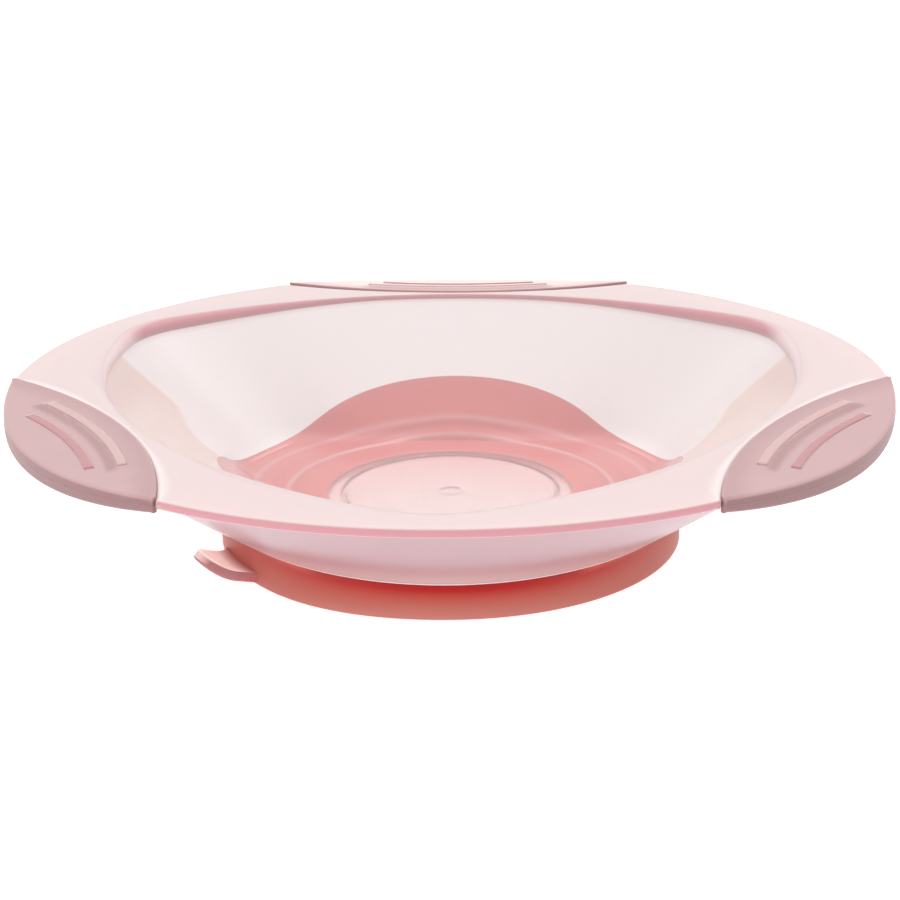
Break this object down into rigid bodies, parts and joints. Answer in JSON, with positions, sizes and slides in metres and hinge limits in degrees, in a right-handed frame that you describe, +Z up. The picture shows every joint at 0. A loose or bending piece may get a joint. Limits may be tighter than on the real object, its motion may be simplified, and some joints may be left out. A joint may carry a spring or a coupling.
{
  "type": "suction bowl",
  "caption": "Shallow three-lobed feeding bowl with a smooth conical outer shell, soft thumb pads on its rim and a suction ring with a pull tab under its floor.",
  "frame": {"origin": "centre of the suction ring, on the table it rests on", "axes": "+Z up out of the food space, +Y towards the back grip, so the front of the bowl faces -Y"},
  "size_m": [0.1906, 0.1904, 0.0369],
  "materials": {
    "pp_shell": "glossy translucent pale pink polypropylene",
    "tpe_grip": "satin dusty pink elastomer, slightly translucent",
    "tpe_ring": "satin coral elastomer, slightly translucent"
  },
  "bodies": {
    "bowl": {"bowl_shell": "pp_shell", "outer_shell": "pp_shell", "grip_pad_back": "tpe_grip", "grip_pad_left": "tpe_grip", "grip_pad_right": "tpe_grip", "suction_collar": "tpe_ring"},
    "lip": {"sealing_lip": "tpe_ring"},
    "tab": {"pull_tab": "tpe_ring"}
  },
  "joints": [
    {"name": "lip_press", "type": "slide", "parent": "bowl", "child": "lip", "axis": [0, 0, 1], "range_m": [0, 0.002], "stiffness_N_per_m": 4000},
    {"name": "tab_lift", "type": "hinge", "parent": "lip", "child": "tab", "pos_m": [-0.04365, -0.0252, 0.0016], "axis": [-0.5, 0.866, 0], "range_deg": [0, 20], "stiffness_Nm_per_rad": 0.01}
  ]
}
